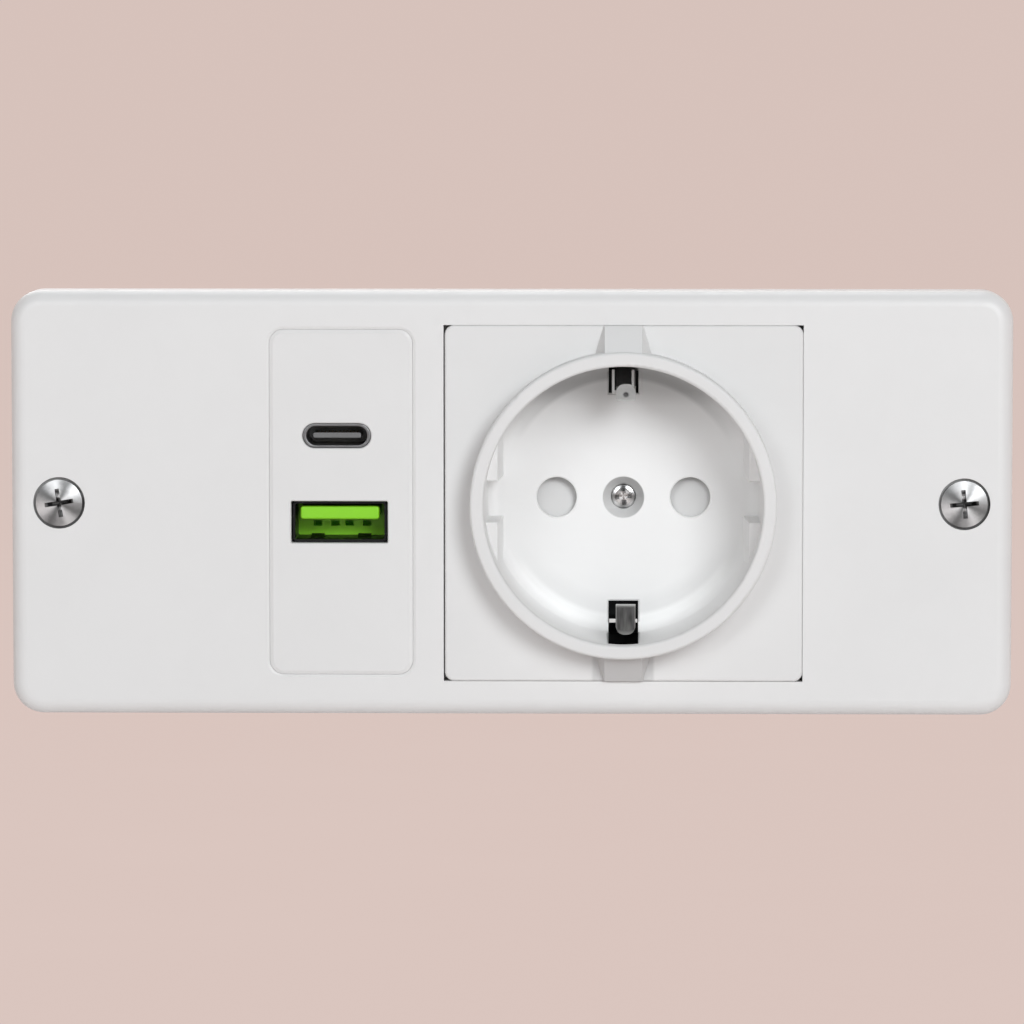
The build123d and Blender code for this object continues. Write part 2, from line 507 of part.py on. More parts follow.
# port board with the slots that the shell legs pass through
pb = bx(FX - 9.4, FX + 9.4, PB_Y0, PB_Y1, FZ - 23.6, FZ + 23.6)
for s in (1, -1):
    pb -= bx(*sorted((AX + s * 6.22, AX + s * 6.66)), PB_Y0 - 1, PB_Y1 + 1, AZ - 1.25, AZ + 1.25)
    pb -= bx(CX + s * 4.55 - 0.23, CX + s * 4.55 + 0.23, PB_Y0 - 1, PB_Y1 + 1, CZ - 0.55, CZ + 0.55)
    pb -= cyl(FX, FZ + s * 20.6, 1.2, PB_Y0 - 1, PB_Y1 + 1)
HEAD_X = [-25.3, -22.8, -20.2, -17.7]
HEAD_Z = -13.5
for x in HEAD_X:
    pb -= bx(x - 0.34, x + 0.34, PB_Y0 - 1, PB_Y1 + 1, HEAD_Z - 0.34, HEAD_Z + 0.34)
nodes["port_board"] = pb
pbs = []
for s in (1, -1):
    s1 = turned(FX, FZ + s * 20.6, [(0, PB_Y1 + 1.5), (1.5, PB_Y1 + 1.5), (2.1, PB_Y1 + 1.0), (2.1, PB_Y1), (1.1, PB_Y1),
                                    (1.1, 2.0), (0.4, 1.0), (0, 1.0)])
    s1 -= cross(FX, FZ + s * 20.6, 1.3, 0.35, PB_Y1 + 1.6, PB_Y1 + 0.7, 35)
    pbs.append(s1)
nodes["port_board_screws"] = group(*pbs)

# -------------------------------------------------------------- charger board
MBP = [(-44.0, -19.8), (-14.6, 19.6)]
mb = bx(MB_X0, MB_X1, MB_Y0, MB_Y1, -MB_Z, MB_Z)
for x, z in MBP:
    mb -= cyl(x, z, 1.2, MB_Y0 - 1, MB_Y1 + 1)
for x in HEAD_X:
    mb -= bx(x - 0.34, x + 0.34, MB_Y0 - 1, MB_Y1 + 1, HEAD_Z - 0.34, HEAD_Z + 0.34)
nodes["main_board"] = mb
mbs = []
for x, z in MBP:
    s1 = turned(x, z, [(0, MB_Y0 - 1.5), (1.5, MB_Y0 - 1.5), (2.1, MB_Y0 - 1.0), (2.1, MB_Y0), (1.1, MB_Y0),
                       (1.1, 35.5), (0.4, 36.5), (0, 36.5)])
    s1 -= cross(x, z, 1.3, 0.35, MB_Y0 - 1.6, MB_Y0 - 0.7, 15)
    mbs.append(s1)
nodes["main_board_screws"] = group(*mbs)
hdr = bx(HEAD_X[0] - 1.4, HEAD_X[-1] + 1.4, MB_Y0 - 2.5, MB_Y0, HEAD_Z - 1.25, HEAD_Z + 1.25)
pins = []
for x in HEAD_X:
    hdr -= bx(x - 0.34, x + 0.34, MB_Y0 - 4, MB_Y0 + 1, HEAD_Z - 0.34, HEAD_Z + 0.34)
    pins.append(bx(x - 0.32, x + 0.32, PB_Y0 - 0.4, MB_Y1 + 0.8, HEAD_Z - 0.32, HEAD_Z + 0.32))
nodes["board_header"] = hdr
nodes["header_pins"] = group(*pins)

# transformer: two-part ferrite core as one closed frame, bobbin and winding
TX, TY, TZ = -38.6, 20.0, 2.0
core_t = bx(TX - 8, TX + 8, TY - 2.5, TY + 2.5, TZ - 8, TZ + 8)
for s in (1, -1):
    core_t -= bx(*sorted((TX + s * 2.0, TX + s * 5.9)), TY - 3, TY + 3, TZ - 5.9, TZ + 5.9)
bob = bx(TX - 2.9, TX + 2.9, TY - 3.4, TY + 3.4, TZ - 5.8, TZ + 5.8)
for s in (1, -1):
    bob += bx(TX - 5.8, TX + 5.8, TY - 6.0, TY + 6.0, *sorted((TZ + s * 5.8, TZ + s * 4.9)))
    bob += bx(TX - 7.5, TX + 7.5, TY + 4.6, TY + 7.0, *sorted((TZ + s * 8.0, TZ + s * 4.9)))
    for x in (-6, -2, 2, 6):
        bob += cyl(TX + x, TZ + s * 6.5, 0.35, TY + 6.5, MB_Y0)
bob -= bx(TX - 2.05, TX + 2.05, TY - 2.55, TY + 2.55, TZ - 8, TZ + 8)
bob -= bx(TX - 9, TX + 9, TY - 2.55, TY + 2.55, TZ + 5.85, TZ + 9)
bob -= bx(TX - 9, TX + 9, TY - 2.55, TY + 2.55, TZ - 9, TZ - 5.85)
wnd = bx(TX - 5.4, TX + 5.4, TY - 5.6, TY + 5.6, TZ - 4.8, TZ + 4.8)
wnd = fillet(wnd.edges().filter_by(Axis.Z), 2.0)
wnd -= bx(TX - 3.0, TX + 3.0, TY - 3.5, TY + 3.5, TZ - 6, TZ + 6)
nodes["transformer_core"] = core_t
nodes["transformer_bobbin"] = bob
nodes["transformer_winding"] = wnd


def can(x, z, r, y0, y1):
    """Electrolytic can standing on the board: rolled groove near its foot."""
    g = y1 - 1.6
    return turned(x, z, [(0, y0), (r - 0.5, y0), (r, y0 + 0.5), (r, g - 0.4), (r - 0.35, g), (r, g + 0.4), (r, y1 - 0.3),
                         (r - 0.3, y1), (0, y1)])


nodes["bulk_capacitors"] = group(can(-42.8, -12.2, 4.0, 14.5, MB_Y0), can(-33.6, -12.2, 4.0, 14.5, MB_Y0))
nodes["output_capacitors"] = group(can(-16.2, 8.0, 3.15, 19.5, MB_Y0), can(-16.2, 0.5, 3.15, 19.5, MB_Y0))
disc = fillet(cyl_x(24.6, 14.5, 3.9, -26.6, -23.4).edges(), 1.0)
legs = bx(-25.3, -24.7, 28.0, MB_Y0, 12.3, 12.9) + bx(-25.3, -24.7, 27.5, MB_Y0, 16.1, 16.7)
nodes["safety_capacitor"] = disc + legs


def chip(x, z, w, h, t, n, pitch, span):
    """Moulded package with two rows of legs on the board."""
    p = bx(x - w / 2, x + w / 2, MB_Y0 - t, MB_Y0 - 0.15, z - h / 2, z + h / 2)
    p = chamfer(p.faces().sort_by(Axis.Y)[0].edges(), 0.2)
    for i in range(n):
        px = x + (i - (n - 1) / 2) * pitch
        p += bx(px - 0.2, px + 0.2, MB_Y0 - 0.3, MB_Y0, z - span / 2, z + span / 2)
    return p


nodes["bridge_rectifier"] = chip(-36.5, -19.6, 6.4, 4.4, 2.3, 2, 5.0, 6.0)
nodes["controller_ic"] = chip(-24.5, -5.5, 5.0, 3.9, 1.5, 4, 1.27, 6.0)
nodes["power_switch"] = chip(-24.0, 4.5, 6.4, 6.0, 2.3, 3, 2.28, 8.0)
fuse = cyl_x(27.3, 19.6, 1.55, -41.5, -33.5)
for x0, x1 in ((-42.3, -40.5), (-34.5, -32.7)):
    fuse += cyl_x(27.3, 19.6, 1.7, x0, x1)
fuse = fuse + cyl(-41.8, 19.6, 0.35, 27.3, MB_Y0) + cyl(-33.2, 19.6, 0.35, 27.3, MB_Y0)
nodes["input_fuse"] = fuse
nodes["input_choke"] = turned(-43.3, 14.3, [(0, 20.5), (3.2, 20.5), (3.2, 21.5), (2.7, 21.7), (2.7, 27.5), (3.2, 27.7),
                                            (3.2, MB_Y0), (0, MB_Y0)])

# short insulated leads from the contacts to the charger board
LEAD_R = 0.85
n_x, l_x = SX - PIN_X, SX + PIN_X
nodes["neutral_lead"] = wire([(n_x, BASE_B + STRIP_T, -21.2), (n_x, 34.0, -21.2), (-4.0, 34.4, -20.2), (-13.2, 34.4, -17.5),
                              (-13.2, MB_Y1, -17.5)], 1.2, LEAD_R)
nodes["live_lead"] = wire([(l_x, BASE_B + STRIP_T, -21.2), (l_x, 36.4, -21.2), (16.0, 36.7, -22.6), (-4.0, 36.7, -22.4),
                           (-15.0, 36.6, -11.5), (-15.0, MB_Y1, -11.5)], 1.5, LEAD_R)

# --------------------------------------------------------------- rear housing
hou = ex(rr(HOUSE_W, HOUSE_H, 3.0), HOUSE_Y0, HOUSE_Y1)
hou = fillet(hou.faces().sort_by(Axis.Y)[-1].edges(), 1.6)
hou -= ex(rr(HOUSE_W - 2 * HOUSE_WALL, HOUSE_H - 2 * HOUSE_WALL, 1.4), HOUSE_Y0 - 1, HOUSE_IN)
# screw wells in the corners
for sx in (1, -1):
    for sz in (1, -1):
        hou += cyl(sx * HBOSS_X, sz * HBOSS_Z, 3.7, HSEAT_Y, HOUSE_IN + 0.5)
for sx in (1, -1):
    for sz in (1, -1):
        hou -= cyl(sx * HBOSS_X, sz * HBOSS_Z, 2.85, HSEAT_Y + 2.0, HOUSE_Y1 + 1)
        hou -= cyl(sx * HBOSS_X, sz * HBOSS_Z, 1.5, HSEAT_Y - 1, HSEAT_Y + 3)
# posts for the charger board
for x, z in MBP:
    hou += cyl(x, z, 2.6, MB_Y1, HOUSE_IN + 0.5)
    hou -= cyl(x, z, 1.15, MB_Y1 - 1, 37.5)
# outside ribs that brace the long walls
for x in (-36.0, -12.0, 12.0, 36.0):
    for s in (1, -1):
        z0, z1 = sorted((s * (HOUSE_H / 2 - 0.3), s * (HOUSE_H / 2 + 0.7)))
        hou += bx(x - 0.8, x + 0.8, 1.0, 36.0, z0, z1)
# cable inlet
hou -= cyl(INLET_X, 0, 6.0, HOUSE_IN - 1, HOUSE_Y1 + 1)
nodes["rear_housing"] = hou
nodes["cable_grommet"] = turned(INLET_X, 0, [(INLET_R, HOUSE_IN - 1.6), (7.2, HOUSE_IN - 1.6), (7.4, HOUSE_IN - 1.2), (7.4, HOUSE_IN),
                                             (6.0, HOUSE_IN), (6.0, HOUSE_Y1), (7.8, HOUSE_Y1), (7.8, HOUSE_Y1 + 1.0),
                                             (7.3, HOUSE_Y1 + 1.6), (INLET_R, HOUSE_Y1 + 1.6)])

# ---------------------------------------------------------------------- write
for name, shape in nodes.items():
    solids = shape.solids()
    print(f"{name:22s} solids {len(solids)}  volume {sum(s.volume for s in solids):10.2f}")
    out = solids[0] if len(solids) == 1 else Compound(children=list(solids))
    export_step(out, f"parts/{name}.step")
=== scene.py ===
import json
import math

import bmesh
import bpy
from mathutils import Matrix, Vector


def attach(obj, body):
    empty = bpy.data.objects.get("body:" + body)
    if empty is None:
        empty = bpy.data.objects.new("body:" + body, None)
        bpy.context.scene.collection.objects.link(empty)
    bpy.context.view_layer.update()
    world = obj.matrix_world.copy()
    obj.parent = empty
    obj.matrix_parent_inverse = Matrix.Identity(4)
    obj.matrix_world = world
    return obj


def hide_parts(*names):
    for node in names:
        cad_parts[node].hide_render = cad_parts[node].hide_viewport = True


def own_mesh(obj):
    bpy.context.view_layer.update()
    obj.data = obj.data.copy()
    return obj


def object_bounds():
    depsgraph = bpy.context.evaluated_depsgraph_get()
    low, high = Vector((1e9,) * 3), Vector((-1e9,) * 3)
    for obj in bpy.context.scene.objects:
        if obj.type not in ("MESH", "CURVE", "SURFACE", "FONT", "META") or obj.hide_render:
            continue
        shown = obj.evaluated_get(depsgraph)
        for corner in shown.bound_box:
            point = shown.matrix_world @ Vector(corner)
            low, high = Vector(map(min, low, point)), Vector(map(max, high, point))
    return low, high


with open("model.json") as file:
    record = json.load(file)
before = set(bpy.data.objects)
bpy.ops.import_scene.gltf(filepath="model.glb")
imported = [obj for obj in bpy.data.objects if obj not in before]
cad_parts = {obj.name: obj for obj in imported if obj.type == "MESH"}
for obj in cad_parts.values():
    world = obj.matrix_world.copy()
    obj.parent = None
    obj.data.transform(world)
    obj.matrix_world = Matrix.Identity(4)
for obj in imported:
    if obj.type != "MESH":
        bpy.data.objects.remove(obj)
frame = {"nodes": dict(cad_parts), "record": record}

N = frame["nodes"]
BODY = "socket_body"
CAD_LO, CAD_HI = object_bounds()
scene = bpy.context.scene

# ------------------------------------------------------------------ measures
SX = 0.01574            # socket axis
FIX_X = 0.0635          # fixing screws
FACE_Y = -0.007         # plate face
FLOOR_Z = CAD_LO.z - 0.11
EX = SX + 0.00035       # earth clips
SPRING_Y = 0.0101       # depth of the spring axes


# ------------------------------------------------------------ material tools
class Mat:
    """Small helper around one node material with a single surface shader."""

    def __init__(self, name):
        self.m = bpy.data.materials.new(name)
        self.m.use_nodes = True
        t = self.m.node_tree
        t.nodes.clear()
        self.t = t
        self.out = self.node("ShaderNodeOutputMaterial")
        self.b = self.node("ShaderNodeBsdfPrincipled")
        t.links.new(self.b.outputs["BSDF"], self.out.inputs["Surface"])
        self.co = self.node("ShaderNodeTexCoord").outputs["Object"]

    def node(self, kind, **kw):
        n = self.t.nodes.new(kind)
        for k, v in kw.items():
            setattr(n, k, v)
        return n

    def link(self, a, b):
        self.t.links.new(a, b)

    def set(self, **kw):
        for k, v in kw.items():
            self.b.inputs[k.replace("_", " ")].default_value = v
        return self

    def noise(self, scale, detail=3.0, rough=0.55, vec=None, distort=0.0):
        n = self.node("ShaderNodeTexNoise")
        n.inputs["Scale"].default_value = scale
        n.inputs["Detail"].default_value = detail
        n.inputs["Roughness"].default_value = rough
        n.inputs["Distortion"].default_value = distort
        self.link(vec if vec is not None else self.co, n.inputs["Vector"])
        return n.outputs["Fac"]

    def stretch(self, scale, vec=None, rot=(0, 0, 0), loc=(0, 0, 0)):
        n = self.node("ShaderNodeMapping")
        n.inputs["Scale"].default_value = scale
        n.inputs["Rotation"].default_value = rot
        n.inputs["Location"].default_value = loc
        self.link(vec if vec is not None else self.co, n.inputs["Vector"])
        return n.outputs["Vector"]

    def axis(self, which):
        n = self.node("ShaderNodeSeparateXYZ")
        self.link(self.co, n.inputs[0])
        return n.outputs[which]

    def radius(self, dx, dz):
        return self.math("SQRT", self.math("ADD", self.math("MULTIPLY", dx, dx), self.math("MULTIPLY", dz, dz)))

    def ramp(self, fac, stops, interp="LINEAR"):
        n = self.node("ShaderNodeValToRGB")
        n.color_ramp.interpolation = interp
        e = n.color_ramp.elements
        while len(e) > len(stops):
            e.remove(e[-1])
        while len(e) < len(stops):
            e.new(1.0)
        for el, (p, c) in zip(e, stops):
            el.position = p
            el.color = (c, c, c, 1) if isinstance(c, (int, float)) else (*c, 1)
        self.link(fac, n.inputs["Fac"])
        return n.outputs["Color"]

    def range(self, fac, lo, hi, a=0.3, b=0.7):
        n = self.node("ShaderNodeMapRange")
        n.inputs["From Min"].default_value = a
        n.inputs["From Max"].default_value = b
        n.inputs["To Min"].default_value = lo
        n.inputs["To Max"].default_value = hi
        self.link(fac, n.inputs["Value"])
        return n.outputs["Result"]

    def math(self, op, a, b=None):
        n = self.node("ShaderNodeMath", operation=op)
        for i, v in enumerate((a, b)):
            if v is None:
                continue
            if isinstance(v, (int, float)):
                n.inputs[i].default_value = v
            else:
                self.link(v, n.inputs[i])
        return n.outputs[0]

    def bump(self, height, strength, distance, normal=None):
        n = self.node("ShaderNodeBump")
        n.inputs["Strength"].default_value = strength
        n.inputs["Distance"].default_value = distance
        self.link(height, n.inputs["Height"])
        if normal is not None:
            self.link(normal, n.inputs["Normal"])
        return n.outputs["Normal"]

    def colour(self, sock):
        self.link(sock, self.b.inputs["Base Color"])

    def rough(self, sock):
        self.link(sock, self.b.inputs["Roughness"])

    def normal(self, sock):
        self.link(sock, self.b.inputs["Normal"])

    def diffuse(self, col):
        self.m.diffuse_color = (*col, 1)
        return self


def shade(col, k):
    return tuple(min(1.0, c * k) for c in col)


def plastic(name, col, rough, vary=0.015, grain=5200, grain_mm=0.012, grain_k=0.10, wave_mm=0.03, seed=(0, 0, 0), spec=0.5, painted_light=None):
    """Moulded plastic: faint flow tint, fine surface grain, slow waviness."""
    k = Mat(name).diffuse(col)
    k.set(Specular_IOR_Level=spec, IOR=1.5)
    here = k.stretch((1, 1, 1), loc=seed)
    tint = k.noise(55, 4, 0.6, here, 0.4)
    base = k.ramp(tint, [(0.30, shade(col, 1 - vary)), (0.70, shade(col, 1 + vary * 0.5))])
    # optional painted light and shade, multiplied into the colour
    if painted_light:
        sc = k.node("ShaderNodeVectorMath", operation="SCALE")
        k.link(base, sc.inputs[0])
        k.link(painted_light(k), sc.inputs["Scale"])
        base = sc.outputs[0]
    k.colour(base)
    k.rough(k.range(k.noise(420, 3, 0.6, here), rough - 0.045, rough + 0.05))
    slow = k.bump(k.noise(90, 1, 0.4, here), 0.25, wave_mm / 1000)
    k.normal(k.bump(k.noise(grain, 2, 0.5, here), grain_k, grain_mm / 1000, slow))
    return k


def metal(name, col, rough, vary=0.06, brush=(900, 9000, 900), k_bump=0.12, spread=0.08):
    """Plated or drawn metal: fine marks along one direction, uneven plating."""
    k = Mat(name).diffuse(col)
    k.set(Metallic=1.0)
    marks = k.noise(1.0, 3, 0.6, k.stretch(brush))
    blot = k.noise(700, 4, 0.6)
    k.colour(k.ramp(blot, [(0.30, shade(col, 1 - vary)), (0.70, shade(col, 1 + vary * 0.5))]))
    k.rough(k.range(marks, max(0.04, rough - spread), rough + spread))
    k.normal(k.bump(marks, k_bump, 0.00001))
    return k


def assign(node, k):
    o = N[node]
    o.data.materials.clear()
    o.data.materials.append(k.m)


def plate_painted_light(k):
    """Painted light and shade: plate edges behind the face painted lighter, and a painted shade ring at the mouth of
    the screw countersinks, darkest at the lower right.
    """
    y, z = k.axis("Y"), k.axis("Z")
    # painted highlight on the edges behind the face
    edge = k.range(y, 0.0, 0.175, -0.0067, -0.0052)
    x = k.axis("X")
    off = k.math("SUBTRACT", x, k.math("MULTIPLY", k.math("SIGN", x), FIX_X))
    # painted shade round the countersink mouths, darker to the lower right
    mouth_painted_shade = k.math("MULTIPLY", k.range(k.radius(off, z), 1.0, 0.0, 0.00360, 0.00368), k.range(y, 0.0, 1.0, -0.00702, -0.00690))
    mouth_painted_shade = k.math("MULTIPLY", mouth_painted_shade, k.range(k.math("SUBTRACT", off, z), 0.55, 0.90, -0.0035, 0.0035))
    return k.math("SUBTRACT", k.math("ADD", edge, 1.0), mouth_painted_shade)


def cover_painted_light(k):
    """Painted light and shade on the cover: the well floor and lower wall painted lighter, the upper wall and the top
    of the floor painted darker, painted shade on the lower fillet and the lower rib, painted light in the pin-hole
    bores, and painted shade in the dish round the middle screw, darkest at the upper right.
    """
    x, y, z = k.math("SUBTRACT", k.axis("X"), SX), k.axis("Y"), k.axis("Z")
    rad = k.radius(x, z)
    # painted light: the well lighter, with painted shade at its top
    well = k.math("MULTIPLY", k.range(rad, 1.0, 0.0, 0.0195, 0.0198), k.range(y, 0.0, 1.0, -0.0122, -0.0105))
    wall = k.range(rad, 0.0, 1.0, 0.0166, 0.0172)
    # painted light on the lower wall, painted shade on the upper wall
    side = k.math("ADD", k.range(z, 0.10, -0.01, -0.0135, -0.0085), k.range(z, 0.0, -0.28, 0.008, 0.015))
    well_painted_light = k.math("MULTIPLY", well, k.math("ADD", k.math("MULTIPLY", wall, side), k.range(z, 0.135, -0.05, 0.0130, 0.0152)))
    # painted shade on the lower fillet
    fillet_painted_shade = k.math("MULTIPLY", k.range(rad, 0.0, 1.0, 0.0138, 0.0156), k.range(rad, 1.0, 0.0, 0.0164, 0.0172))
    fillet_painted_shade = k.math("MULTIPLY", fillet_painted_shade, k.range(z, 0.07, 0.0, -0.0120, -0.0060))
    well_painted_light = k.math("SUBTRACT", well_painted_light, fillet_painted_shade)
    # painted shade in the dish, darkest at the upper right, and on the lower rib
    dish_painted_shade = k.math("MULTIPLY", k.range(rad, 1.0, 0.0, 0.00285, 0.00305), k.range(k.math("ADD", x, z), 0.26, 0.50, -0.0030, 0.0030))
    rib_painted_shade = k.math("MULTIPLY", k.range(k.math("ABSOLUTE", x), 1.0, 0.0, 0.0041, 0.0045), k.range(z, 0.19, 0.0, -0.0217, -0.0213))
    # painted light in the pin-hole bores
    off = k.math("SUBTRACT", k.math("ABSOLUTE", x), 0.0095)
    hole_painted_light = k.range(k.radius(off, z), 0.10, 0.0, 0.00287, 0.00295)
    well_painted_light = k.math("ADD", well_painted_light, hole_painted_light)
    return k.math("SUBTRACT", k.math("SUBTRACT", k.math("ADD", well_painted_light, 1.0), dish_painted_shade), rib_painted_shade)


def green_painted_light(k):
    """Painted light: the green block at the back of the port made lighter with depth."""
    return k.range(k.axis("Y"), 1.0, 1.36, -0.0030, 0.0016)


# ------------------------------------------------------------------ materials
WHITE = (0.832, 0.832, 0.827)
plate_m = plastic("plate_plastic", WHITE, 0.36, seed=(0.3, 0.1, 0.2), painted_light=plate_painted_light)
panel_m = plastic("panel_plastic", (0.822, 0.822, 0.817), 0.36, seed=(0.9, 0.4, 0.1))
cover_m = plastic("cover_plastic", (0.806, 0.806, 0.801), 0.47, seed=(0.5, 0.8, 0.6), spec=0.27, painted_light=cover_painted_light)
shutter_m = plastic("shutter_plastic", (0.71, 0.71, 0.705), 0.42, grain=3800, grain_k=0.16, seed=(0.2, 0.7, 0.9))
base_m = plastic("base_plastic", (0.016, 0.016, 0.018), 0.55, vary=0.2, grain=2600, grain_k=0.2, seed=(0.1, 0.5, 0.3))
housing_m = plastic("housing_plastic", (0.74, 0.74, 0.73), 0.48, vary=0.025, grain=2300, grain_mm=0.03, grain_k=0.32,
                    seed=(0.6, 0.2, 0.8))
black_m = plastic("black_plastic", (0.018, 0.018, 0.02), 0.42, vary=0.2, grain=3000, grain_k=0.2)
# painted highlight: the black tongue plastic made a lighter grey
tongue_painted_highlight_m = plastic("black_plastic_tongue_painted_highlight", (0.21, 0.21, 0.212), 0.36, vary=0.2, grain=3000, grain_k=0.2)
green_m = plastic("green_plastic", (0.275, 0.73, 0.02), 0.38, vary=0.05, grain=4200, grain_k=0.12, painted_light=green_painted_light)
sleeve_m = plastic("can_sleeve", (0.025, 0.025, 0.045), 0.28, vary=0.15, grain=900, grain_k=0.1)
disc_m = plastic("disc_lacquer", (0.04, 0.17, 0.45), 0.25, vary=0.1, grain=1400, grain_mm=0.05, grain_k=0.3)
fuse_m = plastic("fuse_body", (0.58, 0.53, 0.42), 0.4, vary=0.08, grain=1500, grain_k=0.2)
brown_m = plastic("lead_brown", (0.17, 0.065, 0.025), 0.45, vary=0.1, grain=1800, grain_k=0.2)
blue_m = plastic("lead_blue", (0.025, 0.10, 0.38), 0.45, vary=0.1, grain=1800, grain_k=0.2)
rubber_m = plastic("grommet_rubber", (0.022, 0.022, 0.023), 0.62, vary=0.25, grain=1500, grain_mm=0.04, grain_k=0.4)
ferrite_m = plastic("ferrite", (0.045, 0.045, 0.05), 0.55, vary=0.3, grain=1700, grain_mm=0.04, grain_k=0.4)

spring_m = metal("spring_steel", (0.56, 0.55, 0.53), 0.28, brush=(6000, 6000, 900))
brass_m = metal("contact_brass", (0.78, 0.57, 0.24), 0.26, brush=(9000, 900, 900))
shell_m = metal("shell_steel", (0.36, 0.36, 0.37), 0.34, brush=(700, 700, 9000))
lip_m = metal("shell_steel_lip", (0.27, 0.27, 0.275), 0.36, brush=(700, 700, 9000))
# painted shade: the USB-A shell steel made near black
shell_painted_shade_m = metal("shell_steel_painted_shade", (0.028, 0.028, 0.029), 0.45, brush=(700, 700, 9000))
gold_m = metal("contact_gold", (0.83, 0.60, 0.24), 0.24, brush=(900, 9000, 900))
copper_m = metal("choke_copper", (0.62, 0.26, 0.10), 0.3, brush=(700, 7000, 700))


def clip_metal():
    """Nickel plated spring strip with rolling marks and a streaky middle; painted highlights on the edges and ends of
    the lower clip, the upper clip painted lighter all over, with painted shade in its pit.
    """
    k = Mat("earth_metal").diffuse((0.5, 0.5, 0.49))
    k.set(Metallic=1.0)
    marks = k.noise(1.0, 3, 0.6, k.stretch((9000, 700, 700)))
    z = k.axis("Z")
    # painted highlights on the lower clip's edges and ends
    side = k.range(k.math("ABSOLUTE", k.math("SUBTRACT", k.axis("X"), EX)), 0.0, 0.9, 0.00112, 0.00134)
    ends = k.math("MAXIMUM", k.range(z, 0.0, 0.7, -0.0150, -0.0144), k.range(z, 0.8, 0.0, -0.0179, -0.0172))
    streak = k.range(k.noise(1.0, 2, 0.5, k.stretch((1100, 150, 150))), 0.22, 0.62)
    low = k.math("MAXIMUM", k.math("MAXIMUM", side, ends), streak)
    high = k.range(k.noise(700, 3, 0.5), 0.70, 0.80)
    # upper and lower clips coloured as lit and shaded copies; painted shade in the upper clip's pit
    up = k.range(z, 0.0, 1.0, -0.001, 0.001)
    pit_painted_shade = k.range(k.radius(k.math("SUBTRACT", k.axis("X"), EX), k.math("SUBTRACT", z, 0.0153)), 0.22, 1.0, 0.00026, 0.00052)
    high = k.math("MULTIPLY", high, pit_painted_shade)
    clip_painted_light = k.math("ADD", k.math("MULTIPLY", high, up), k.math("MULTIPLY", low, k.math("SUBTRACT", 1.0, up)))
    k.colour(k.ramp(clip_painted_light, [(0.0, (0.05, 0.05, 0.051)), (0.2, (0.17, 0.17, 0.17)), (0.5, (0.46, 0.46, 0.457)), (0.95, (0.82, 0.815, 0.80))]))
    k.rough(k.range(marks, 0.34, 0.48))
    k.normal(k.bump(marks, 0.03, 0.000006))
    return k


earth_m = clip_metal()


def screw_metal(name, centres, painted_sheen_stops, rough, recess_paint):
    """Bright plating with turning marks round each screw's own axis (along Y), with painted reflection wedges by the
    angle round the axis and painted shade and highlights down in the recess.
    """
    k = Mat(name).diffuse((0.75, 0.75, 0.74))
    k.set(Metallic=1.0, Anisotropic=0.4)
    sep = k.node("ShaderNodeSeparateXYZ")
    k.link(k.co, sep.inputs[0])
    x, z = sep.outputs["X"], sep.outputs["Z"]
    if centres == "pair":
        dx = k.math("SUBTRACT", x, k.math("MULTIPLY", k.math("SIGN", x), FIX_X))
    else:
        dx = k.math("SUBTRACT", x, centres)
    rad = k.math("SQRT", k.math("ADD", k.math("MULTIPLY", dx, dx), k.math("MULTIPLY", z, z)))
    turn = k.node("ShaderNodeTexNoise", noise_dimensions="1D")
    turn.inputs["Scale"].default_value = 9000
    turn.inputs["Detail"].default_value = 3
    k.link(rad, turn.inputs["W"])
    marks = turn.outputs["Fac"]
    # painted sheen: reflection wedges painted by the angle round the axis, slightly broken up; painted shade and
    # highlights down in the recess
    ang = k.math("ADD", k.math("DIVIDE", k.math("ARCTAN2", dx, z), 2 * math.pi), 0.5)
    ang = k.math("ADD", ang, k.range(k.noise(900, 3, 0.6), -0.012, 0.012))
    painted_sheen = k.ramp(ang, painted_sheen_stops, "EASE")
    sc = k.node("ShaderNodeVectorMath", operation="SCALE")
    k.link(painted_sheen, sc.inputs[0])
    recess = k.range(k.axis("Y"), 0.0, 1.0, recess_paint[0], recess_paint[1])
    # painted shade and highlights in the recess and at the top arm's tip
    recess_painted_shade = k.range(k.math("ABSOLUTE", z) if centres == "pair" else rad, recess_paint[2], recess_paint[3], 0.00055, 0.00080)
    tip_painted_shade = k.range(z, 0.0, recess_paint[4], 0.00130, 0.00150)
    k.link(k.math("SUBTRACT", 1.0, k.math("MULTIPLY", recess, k.math("ADD", recess_painted_shade, tip_painted_shade))), sc.inputs["Scale"])
    k.colour(sc.outputs[0])
    k.rough(k.range(marks, *rough))
    k.normal(k.bump(marks, 0.10, 0.000006))
    tan = k.node("ShaderNodeCombineXYZ")
    k.link(dx, tan.inputs["X"])
    k.link(z, tan.inputs["Z"])
    nrm = k.node("ShaderNodeVectorMath", operation="NORMALIZE")
    k.link(tan.outputs[0], nrm.inputs[0])
    k.link(nrm.outputs[0], k.b.inputs["Tangent"])
    return k


# painted reflection wedges, placed round the head: 0 and 1 below, 0.25 left, 0.5 above, 0.75 right
PAINTED_SHEEN_FAN = [(0.0, 0.42), (0.067, 0.22), (0.192, 0.82), (0.345, 0.18), (0.475, 0.78), (0.565, 0.26), (0.642, 0.62),
       (0.75, 0.34), (0.817, 0.22), (0.925, 0.80), (1.0, 0.42)]
PAINTED_SHEEN_STAR = [(0.0, 0.35), (0.125, 0.95), (0.25, 0.35), (0.375, 0.95), (0.5, 0.30), (0.625, 0.95), (0.75, 0.35), (0.875, 0.9), (1.0, 0.35)]
wall_screw_m = screw_metal("screw_plating", "pair", PAINTED_SHEEN_FAN, (0.36, 0.50), (-0.0070, -0.0066, 0.82, -0.45, 1.15))
mid_screw_m = screw_metal("screw_plating_mid", SX, PAINTED_SHEEN_STAR, (0.16, 0.30), (0.0072, 0.0085, -1.2, 0.45, 0.0))
